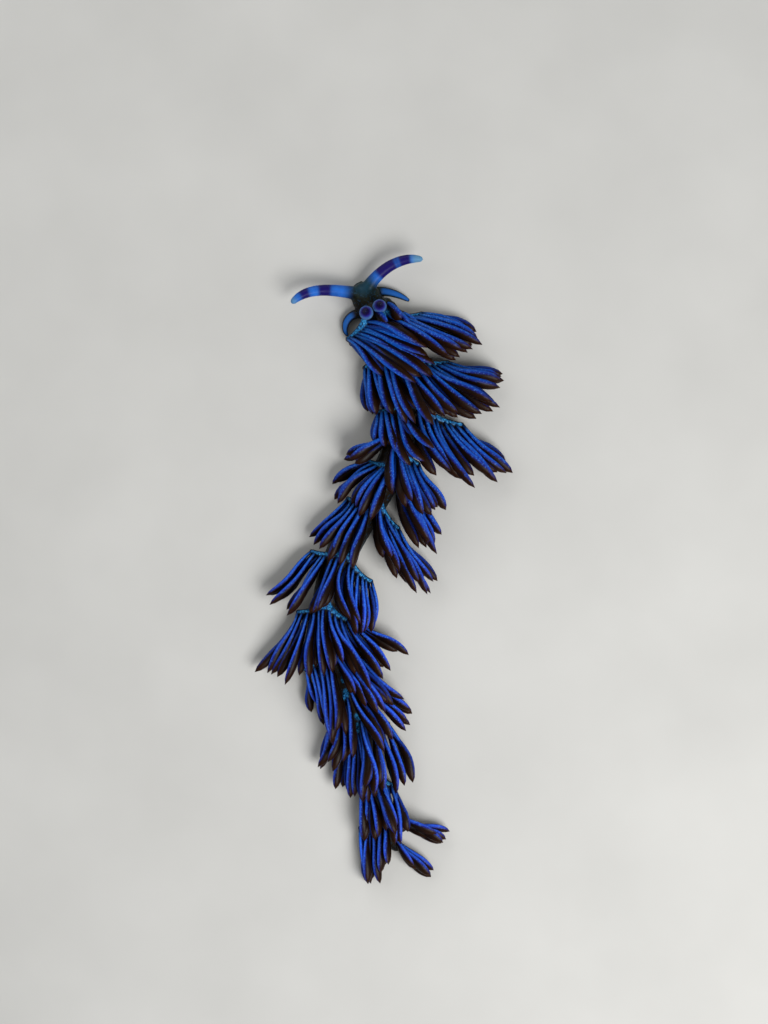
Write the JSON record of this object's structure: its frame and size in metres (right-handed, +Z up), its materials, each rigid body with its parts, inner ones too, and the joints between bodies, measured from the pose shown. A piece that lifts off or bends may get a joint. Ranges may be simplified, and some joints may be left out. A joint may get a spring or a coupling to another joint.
{
  "type": "blue dragon sea slug",
  "caption": "Life-size aeolid sea slug crawling on its flat sole, with leafed rhinophores, long oral tentacles and fans of cerata down both sides.",
  "frame": {"origin": "a point on the flat sole below the middle of the animal", "axes": "+Z up from the sole, -Y towards the head, +Y towards the tail, +X towards the animal's left side"},
  "size_m": [0.0389, 0.1049, 0.0101],
  "materials": {
    "skin": "wet, soft satin",
    "cerata": "wet, soft satin",
    "feeler": "wet, soft satin",
    "rhinophore": "wet, soft satin"
  },
  "bodies": {
    "root": {"head": "skin", "oral_tentacle_left": "feeler", "oral_tentacle_right": "feeler", "rhinophore_left": "rhinophore", "rhinophore_right": "rhinophore", "foot_corner_left": "skin", "foot_corner_right": "skin", "neck": "cerata", "trunk_front": "cerata", "trunk_middle": "cerata", "trunk_rear": "cerata", "tail": "cerata"}
  },
  "joints": []
}
